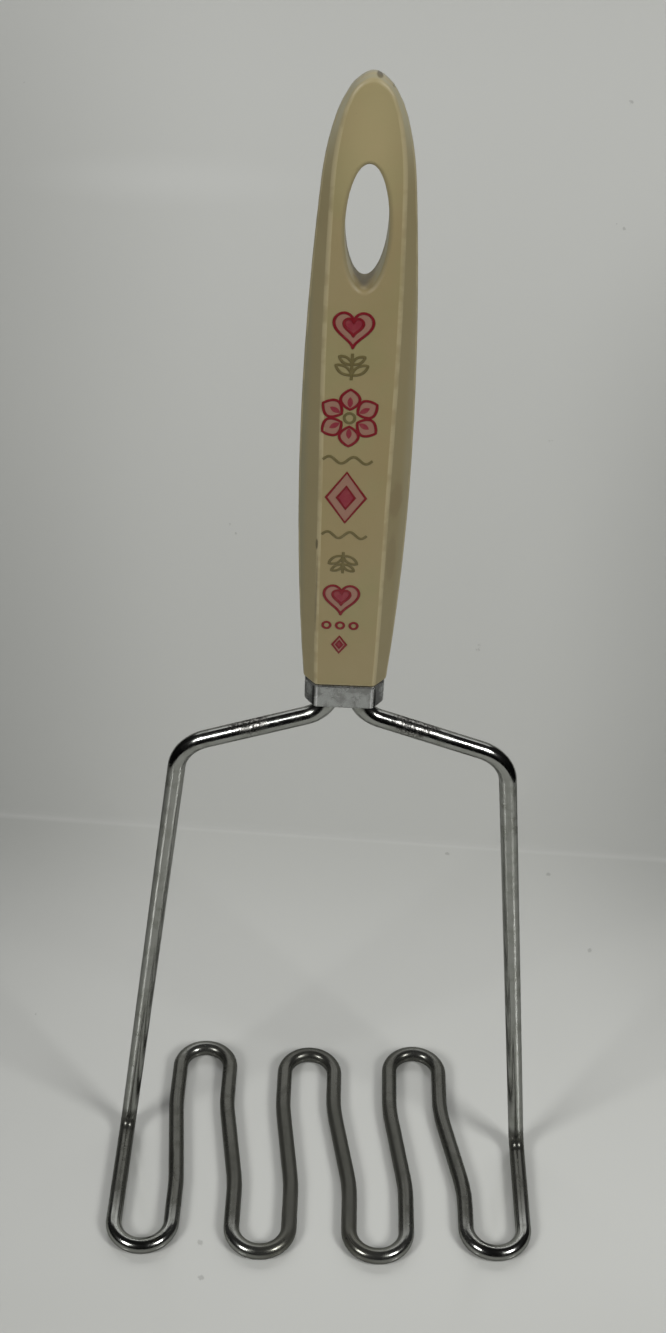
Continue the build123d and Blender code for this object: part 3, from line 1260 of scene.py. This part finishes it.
@dataclass(frozen=True)
class MasherWire:
    """One length of round wire bent into tangs, frame and serpentine head. In millimetres."""

    name: str = "round_wire"
    slot: str = "wire_chrome"
    radius: float = 1.8
    front_pitch: float = 27.0
    front_turn_radius: float = 6.6
    front_reach_shares: tuple[float, ...] = (1.01, 1.02, 1.02, 0.95)
    back_pitch: float = 26.2
    back_turn_radius: float = 6.2
    back_shift: float = 3.6
    back_reach_shares: tuple[float, ...] = (0.995, 0.965, 1.02)
    head_depth: float = 58.7
    sway_span: float = 23.0
    sway_radius: float = 36.0
    foot_radius: float = 4.0
    foot_set_back: float = 4.5
    foot_skew: float = 0.85
    shoulder_half_span: float = 32.6
    shoulder_shift: float = 0.5
    shoulder_height: float = 123.8
    shoulder_radius: float = 9.0
    tang_half_spacing: float = 2.2
    tang_corner_height: float = 134.2
    tang_radius: float = 7.5
    tang_top_height: float = 172.2
    sides: int = 40
    arc_step: float = math.radians(4)
    least_step: float = 1e-3

    def build(self, finish: bpy.types.Material) -> bpy.types.Object:
        """Makes the wire.

        Args:
            finish: Plating material.

        Returns:
            The wire as one closed mesh.
        """
        path = line_object("wire_path", [(self._path(), False)])
        values = {"Radius": self.radius * MM, "Sides": self.sides, "Finish": finish}
        add_tree(path, self._tree(), values)
        mesh = evaluated_mesh(path, self.name)
        shape = bmesh.new()
        shape.from_mesh(mesh)
        bmesh.ops.recalc_face_normals(shape, faces=shape.faces)
        shape.to_mesh(mesh)
        shape.free()
        return scene_object(self.name, mesh)

    def dress(self, obj: bpy.types.Object, node: str) -> None:
        """Gives the wire, already plated, its place in the part."""
        join_part(obj, self.slot, node)

    def _frame(self, side: int) -> tuple[list[Vector], list[float]]:
        """Corners from one tang's top down to its foot.

        Args:
            side: -1 for left, 1 for right.

        Returns:
            The corners, and the radius at each one but the first.
        """
        foot = (len(self.front_reach_shares) - 1) / 2 * self.front_pitch + self.front_turn_radius
        tang = side * self.tang_half_spacing
        shoulder = side * self.shoulder_half_span + self.shoulder_shift
        corners = [
            Vector((tang, 0, self.tang_top_height)),
            Vector((tang, 0, self.tang_corner_height)),
            Vector((shoulder, 0, self.shoulder_height)),
            Vector((side * foot, self.foot_set_back - side * self.foot_skew, self.radius)),
        ]
        return corners, [self.tang_radius, self.shoulder_radius, self.foot_radius]

    def _head(self) -> tuple[list[Vector], list[float]]:
        """Corners of the serpentine from the left foot to the right foot.

        Returns:
            The corners, and the radius at each one.
        """
        count = len(self.front_reach_shares)
        sway_front, sway_back = -self.sway_span / 2, self.sway_span / 2
        stops = []
        for turn, share in enumerate(self.front_reach_shares):
            middle = (turn - (count - 1) / 2) * self.front_pitch
            left, right = middle - self.front_turn_radius, middle + self.front_turn_radius
            front = -share * self.head_depth / 2
            if turn > 0:
                stops.append((left, sway_front, self.sway_radius))
            stops.append((left, front, self.front_turn_radius))
            stops.append((right, front, self.front_turn_radius))
            if turn == count - 1:
                break
            middle = (turn - (count - 2) / 2) * self.back_pitch - self.back_shift
            left, aside = middle - self.back_turn_radius, middle + self.back_turn_radius
            back = self.back_reach_shares[turn] * self.head_depth / 2
            stops.append((right, sway_front, self.sway_radius))
            stops.append((left, sway_back, self.sway_radius))
            stops.append((left, back, self.back_turn_radius))
            stops.append((aside, back, self.back_turn_radius))
            stops.append((aside, sway_back, self.sway_radius))
        return [Vector((x, y, self.radius)) for x, y, _ in stops], [bend for _, _, bend in stops]

    def _bend(self, before: Vector, corner: Vector, after: Vector, radius: float) -> list[Vector]:
        """Points along the arc that rounds one corner.

        Args:
            before: Corner before it.
            corner: The corner.
            after: Corner after it.
            radius: Radius of the arc.

        Returns:
            The points, both ends included.
        """
        arriving = (corner - before).normalized()
        leaving = (after - corner).normalized()
        angle = arriving.angle(leaving)
        start = corner - arriving * (radius * math.tan(angle / 2))
        inward = (leaving - arriving * arriving.dot(leaving)).normalized()
        steps = max(2, math.ceil(angle / self.arc_step))
        points = []
        for step in range(steps + 1):
            turned = angle * step / steps
            along = arriving * (radius * math.sin(turned))
            points.append(start + along + inward * (radius * (1 - math.cos(turned))))
        return points

    def _path(self) -> list[Vector]:
        """Points along the wire's middle line.

        Returns:
            The points, in metres.
        """
        left, left_radii = self._frame(-1)
        right, right_radii = self._frame(1)
        head, head_radii = self._head()
        corners = left + head + right[::-1]
        radii = left_radii + head_radii + right_radii[::-1]
        points = [corners[0]]
        for before, corner, after, radius in zip(corners, corners[1:], corners[2:], radii):
            for point in self._bend(before, corner, after, radius):
                if (point - points[-1]).length > self.least_step:
                    points.append(point)
        points.append(corners[-1])
        return [point * MM for point in points]

    def _tree(self) -> bpy.types.NodeTree:
        """Node tree that gives a path the wire's round section.

        Returns:
            The tree.
        """
        kinds = {"Radius": "NodeSocketFloat", "Sides": "NodeSocketInt", "Finish": "NodeSocketMaterial"}
        graph, given = geometry_tree("round_wire", kinds)
        circle = {"Resolution": given["Sides"], "Radius": given["Radius"]}
        profile = graph.add("GeometryNodeCurvePrimitiveCircle", circle).outputs[0]
        spot = graph.add("GeometryNodeInputPosition").outputs[0]
        shares = {0: spot, 1: given["Radius"]}
        share = graph.add("ShaderNodeVectorMath", shares, operation="DIVIDE").outputs[0]
        ring = self._stored(graph, profile, "ring", share, "FLOAT_VECTOR")
        length = graph.add("GeometryNodeSplineParameter").outputs["Length"]
        path = self._stored(graph, given["Geometry"], "along", length, "FLOAT")
        swept = {"Curve": path, "Profile Curve": ring, "Fill Caps": True}
        tube = graph.add("GeometryNodeCurveToMesh", swept).outputs[0]
        smooth = graph.add("GeometryNodeSetShadeSmooth", {"Geometry": tube}).outputs[0]
        return end_tree(graph, smooth, given["Finish"])

    def _stored(self, graph: Graph, geometry: Socket, name: str, value: Socket, kind: str) -> Socket:
        """Stores a value on the points of a geometry.

        Args:
            graph: The tree's graph.
            geometry: Geometry that gets the attribute.
            name: Name of the attribute.
            value: Its value.
            kind: Its data type.

        Returns:
            The geometry with the attribute.
        """
        node = graph.add("GeometryNodeStoreNamedAttribute", data_type=kind, domain="POINT")
        graph.fill(node, {"Geometry": geometry, "Name": name, "Value": value})
        return node.outputs[0]


@dataclass(frozen=True)
class PhotoCamera:
    """Camera that frames the object as photographed. Angles in degrees."""

    place: Triple = (-3.72 * MM, -265.38 * MM, 337.74 * MM)
    downward: float = 36.052
    heading: float = 0.301
    roll: float = 2.525
    focal_pixels: float = 1713.6
    frame_height_pixels: float = 1333.0
    sensor: float = 36.0
    nearest: float = 0.01

    def build(self) -> bpy.types.Object:
        """Makes the camera and makes it the scene's own.

        Returns:
            The camera object.
        """
        down, heading, roll = (math.radians(a) for a in (self.downward, self.heading, self.roll))
        ahead = math.cos(down)
        forward = Vector((math.sin(heading) * ahead, math.cos(heading) * ahead, -math.sin(down)))
        level = Vector((math.cos(heading), -math.sin(heading), 0))
        lower = forward.cross(level)
        right = math.cos(roll) * level - math.sin(roll) * lower
        lower = math.sin(roll) * level + math.cos(roll) * lower
        data = bpy.data.cameras.new("photo_camera")
        data.sensor_fit = "AUTO"
        data.sensor_width = self.sensor
        data.lens = self.sensor * self.focal_pixels / self.frame_height_pixels
        data.clip_start = self.nearest
        camera = scene_object("photo_camera", data)
        turn = Matrix((right, -lower, -forward)).transposed().to_4x4()
        camera.matrix_world = Matrix.Translation(self.place) @ turn
        bpy.context.scene.camera = camera
        return camera


@dataclass(frozen=True)
class SoftBox:
    """One soft rectangular lamp aimed at a point. Lengths in metres."""

    name: str
    place: Triple
    aim: Triple
    width: float
    height: float
    power: float

    def build(self) -> bpy.types.Object:
        """Makes the lamp.

        Returns:
            The lamp object.
        """
        data = bpy.data.lights.new(self.name, "AREA")
        data.shape = "RECTANGLE"
        data.size = self.width
        data.size_y = self.height
        data.energy = self.power
        lamp = scene_object(self.name, data)
        direction = Vector(self.aim) - Vector(self.place)
        lamp.rotation_euler = direction.to_track_quat("-Z", "Y").to_euler()
        lamp.location = self.place
        return lamp


@dataclass(frozen=True)
class DimRoom:
    """Surroundings of a darkened room, with a faint fill for matt surfaces."""

    glow: Span = (0.01, 0.02)
    glow_reach: Span = (-0.35, 0.5)
    fill: Span = (0.06, 0.16)
    fill_reach: Span = (-0.2, 0.8)
    upward: Span = (0.25, 1.0)
    upward_reach: Span = (-0.2, 0.6)

    def build(self) -> None:
        """Makes the world and makes it the scene's own."""
        world = bpy.data.worlds.new("surroundings")
        world.use_nodes = True
        world.node_tree.nodes.clear()
        graph = Graph(world.node_tree)
        direction = graph.add("ShaderNodeTexCoord").outputs["Generated"]
        _, back, up = graph.axes(direction)
        above = graph.ramp(up, self.upward_reach, self.upward)
        tone = graph.times(graph.ramp(back, self.glow_reach, self.glow), above)
        diffuse = graph.add("ShaderNodeLightPath").outputs["Is Diffuse Ray"]
        fill = graph.times(diffuse, graph.ramp(back, self.fill_reach, self.fill))
        tone = graph.plus(tone, fill)
        shade = graph.add("ShaderNodeCombineColor", {0: tone, 1: tone, 2: tone}).outputs[0]
        background = graph.add("ShaderNodeBackground", {"Color": shade, "Strength": 1.0})
        graph.add("ShaderNodeOutputWorld", {0: background.outputs[0]})
        bpy.context.scene.world = world


@dataclass(frozen=True)
class Studio:
    """Sheet, soft lamps and surroundings. Lengths in metres."""

    half_width: float = 0.21
    front: float = -0.34
    fold: float = 0.113
    fold_slope: float = -0.04
    fold_radius: float = 0.003
    fold_steps: int = 16
    wall_lean: float = math.radians(47)
    wall_length: float = 0.58
    room: DimRoom = DimRoom()
    lamps: tuple[SoftBox, ...] = (
        SoftBox("left_softbox", (-0.54, -0.48, 0.60), (0, 0, 0.08), 0.25, 0.25, 3.38),
        SoftBox("right_softbox", (0.56, -0.44, 0.64), (0, 0, 0.08), 0.25, 0.25, 3.98),
        SoftBox("back_softbox", (0.0, 0.56, 0.62), (0, 0, 0.0), 1.3, 0.34, 1.45),
    )

    def build(self, floor: bpy.types.Material, backdrop: bpy.types.Material) -> list[bpy.types.Object]:
        """Makes the sheet, the lamps and the world.

        Args:
            floor: Material of the floor.
            backdrop: Material of the fold and the leaning wall.

        Returns:
            The staged objects.
        """
        sheet = self._sheet((floor, backdrop))
        self.room.build()
        return [sheet, *(lamp.build() for lamp in self.lamps)]

    def _profile(self) -> list[Point]:
        """Side view of the sheet: floor, fold and leaning wall.

        Returns:
            Depth and height of each row.
        """
        points = [(self.front, 0.0), (self.fold, 0.0)]
        for step in range(1, self.fold_steps + 1):
            turned = self.wall_lean * step / self.fold_steps
            rise = self.fold_radius * (1 - math.cos(turned))
            points.append((self.fold + self.fold_radius * math.sin(turned), rise))
        end_y, end_z = points[-1]
        reach, climb = math.cos(self.wall_lean), math.sin(self.wall_lean)
        points.append((end_y + self.wall_length * reach, end_z + self.wall_length * climb))
        return points

    def _sheet(self, materials: tuple[bpy.types.Material, ...]) -> bpy.types.Object:
        """Floor and backdrop as one bent sheet, its fold slightly aslant.

        Args:
            materials: Materials of the floor and of the rest.

        Returns:
            The sheet.
        """
        shape = bmesh.new()
        rows = []
        for y, z in self._profile():
            skew = 0.0 if y == self.front else self.fold_slope
            sides = (-self.half_width, self.half_width)
            rows.append([shape.verts.new((x, y + skew * x, z)) for x in sides])
        for order, (near, far) in enumerate(zip(rows, rows[1:])):
            face = shape.faces.new((near[0], near[1], far[1], far[0]))
            face.smooth = True
            face.material_index = min(order, 1)
        mesh = bpy.data.meshes.new("studio_sheet")
        shape.to_mesh(mesh)
        shape.free()
        for material in materials:
            mesh.materials.append(material)
        return scene_object("studio_sheet", mesh)


IVORY_PLASTIC = AgedPlastic(
    name="aged_ivory_plastic",
    colour=srgb(150, 136, 99),
    yellowed=srgb(147, 132, 93),
    greened=srgb(142, 136, 95),
    rubbed=srgb(175, 163, 128),
    bevel_painted_shade=srgb(146, 135, 101),
    flank_painted_light_and_shade=(srgb(134, 130, 104), srgb(152, 144, 115)),
    crown_painted_light=srgb(176, 174, 152),
    grime=srgb(82, 72, 52),
    roughness=0.42,
    spots=(
        # chip at the tip, two stains and two scratches on the bevels
        Spot((0.9, -0.6, 257.2), (0.7, 1.6, 0.7), srgb(66, 60, 46), 0.85),
        Spot((7.4, -3.4, 184.0), (1.6, 2.4, 4.4), srgb(122, 104, 76), 0.32),
        Spot((7.2, -3.6, 172.0), (1.2, 2.0, 6.0), srgb(120, 105, 78), 0.28),
        Spot((-6.2, -4.6, 174.8), (0.28, 0.8, 1.4), srgb(84, 76, 54), 0.8),
        Spot((-6.0, -4.7, 164.0), (0.22, 0.8, 9.5), srgb(104, 94, 68), 0.5),
        # painted shade at the foot of the hole, a scratch beside it and painted light on the top
        Spot((0.0, 0.0, 223.4), (2.6, 4.2, 2.2), srgb(138, 124, 86), 0.85),
        Spot((-1.2, -4.8, 246.7), (0.4, 1.2, 2.8), srgb(118, 108, 76), 0.4),
        Spot((0.0, -5.0, 250.0), (9.0, 6.0, 26.0), srgb(178, 164, 120), 0.6, 0.2, 60.0, 0.3),
    ),
)

FERRULE_CHROME = PlatedMetal(
    name="hazed_ferrule_chrome",
    colour=(0.375, 0.385, 0.375),
    dulled=(0.27, 0.27, 0.26),
    roughness=0.16,
    haze=Patches(420.0, 0.5, 0.14),
    haze_roughness=0.42,
    edge_tint=0.7,
    ripple=0.06,
    film=0.18,
    # a painted dark reflection and a painted highlight at each front corner
    tarnish_and_painted_lines=tuple(
        Spot((side * across, -3.9, 140.0), (width, 1.4, 4.0), tone, 0.85)
        for side in (-1, 1)
        for across, width, tone in ((5.85, 0.3, (0.03, 0.03, 0.028)), (5.25, 0.25, (0.7, 0.7, 0.7)))
    ),
)

WIRE_CHROME = PlatedMetal(
    name="wire_chrome_plating",
    colour=(0.35, 0.355, 0.335),
    dulled=(0.26, 0.265, 0.24),
    roughness=0.13,
    haze=Patches(300.0, 0.42, 0.14),
    haze_roughness=0.24,
    edge_tint=0.5,
    ripple=0.016,
    streaks=DrawnStreaks(),
    painted_underside_shade=0.75,
    tarnish_film=0.22,
    # the head, darkest in its middle
    tarnish_and_painted_lines=(
        Spot((0, -4, 2), (30, 27, 9), (0.05, 0.048, 0.031), 0.92, 0.5, 60.0, 0.5),
        Spot((0, -24, 2), (24, 14, 9), (0.095, 0.092, 0.07), 0.75, 0.5, 60.0, 0.5),
        Spot((0, 3, 2), (84, 34, 9), (0.09, 0.09, 0.078), 0.92, 0.3, 60.0, 0.75),
    ),
    # one rough zone on each arm
    pits=(
        Spot((-19.1, 0, 131.0), (5.5, 4.0, 3.5), (0.36, 0.35, 0.33), 0.8),
        Spot((14.8, 0, 132.0), (6.5, 4.0, 3.5), (0.36, 0.35, 0.33), 0.8),
    ),
)

INKS = {
    Tone.CRIMSON: PrintInk(Tone.CRIMSON.value, srgb(116, 9, 24), srgb(128, 32, 40)),
    Tone.ROSE: PrintInk(Tone.ROSE.value, srgb(130, 42, 54), srgb(138, 70, 68)),
    Tone.BLUSH: PrintInk(Tone.BLUSH.value, srgb(146, 109, 93), srgb(142, 116, 92)),
    Tone.OLIVE: PrintInk(Tone.OLIVE.value, srgb(100, 90, 54), srgb(114, 103, 68)),
}


def painted_soft_tone(centre: Triple, reach: Triple, colour: Colour, strength: float) -> Spot:
    """Broad painted shade, or a broad painted light, on the sheet, fading evenly from its middle."""
    return Spot(centre, reach, colour, strength, ragged=0.0, grain=9.0, core=0.0)


# painted shade towards both sides and on the left
SIDE_SHADES = (
    painted_soft_tone((-125, 120, 0), (90, 130, 200), srgb(160, 161, 157), 0.8),
    painted_soft_tone((125, 120, 0), (80, 120, 200), srgb(160, 161, 157), 0.75),
    painted_soft_tone((-200, 50, 0), (200, 400, 400), srgb(150, 151, 147), 0.6),
)

FLOOR = StudioSheet(
    name="pale_floor",
    # near and far: painted light and shade, lighter at the front, darker towards the fold
    near=srgb(213, 214, 209),
    far=srgb(198, 199, 194),
    blend=(-0.06, 0.14),
    roughness=0.15,
    painted_light_shade_and_specks=(
        *SIDE_SHADES,
        painted_soft_tone((-70, 0, 0), (120, 100, 200), srgb(190, 191, 187), 0.3),
        *(
            Spot((x, y, 0), (0.8, 0.9, 2.0), srgb(90, 88, 80), 0.28, 1.6, 1400.0, 0.5)
            for x, y in ((34, 108), (63, 101), (72, 71), (-27, -27), (-26, -36))
        ),
    ),
)

BACKDROP = StudioSheet(
    name="pale_backdrop",
    # near and far: painted light and shade, darker at the fold, lighter higher up
    near=srgb(188, 189, 184),
    far=srgb(211, 212, 207),
    blend=(0.113, 0.30),
    roughness=0.85,
    painted_light_shade_and_specks=(
        *SIDE_SHADES,
        painted_soft_tone((-150, 240, 130), (120, 200, 200), srgb(150, 151, 147), 0.45),
        painted_soft_tone((130, 190, 80), (80, 100, 120), srgb(160, 161, 157), 0.55),
        # a faint painted band of light across the wall
        painted_soft_tone((-60, 250, 147), (60, 11, 11), srgb(240, 241, 238), 0.16),
    ),
)


def main() -> None:
    """Builds the dressed part, the stage and the camera."""
    logging.basicConfig(level=logging.INFO, format="%(name)s: %(message)s")
    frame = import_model()
    nodes = frame["nodes"]

    handle = MouldedHandle()
    body = handle.build(nodes["handle"])
    handle.dress(body, IVORY_PLASTIC.build(), "handle")

    ornament = PrintedOrnament(Surface(body))
    ornament.dress(ornament.build({tone: ink.build() for tone, ink in INKS.items()}))

    ferrule = DrawnFerrule()
    ferrule.dress(ferrule.build(nodes["ferrule"]), FERRULE_CHROME.build(), "ferrule")

    wire = MasherWire()
    wire.dress(wire.build(WIRE_CHROME.build()), "masher_wire")

    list(Studio().build(FLOOR.build(), BACKDROP.build()))
    PhotoCamera().build()
    bpy.context.scene.view_settings.view_transform = "Standard"


if __name__ == "__main__":
    main()
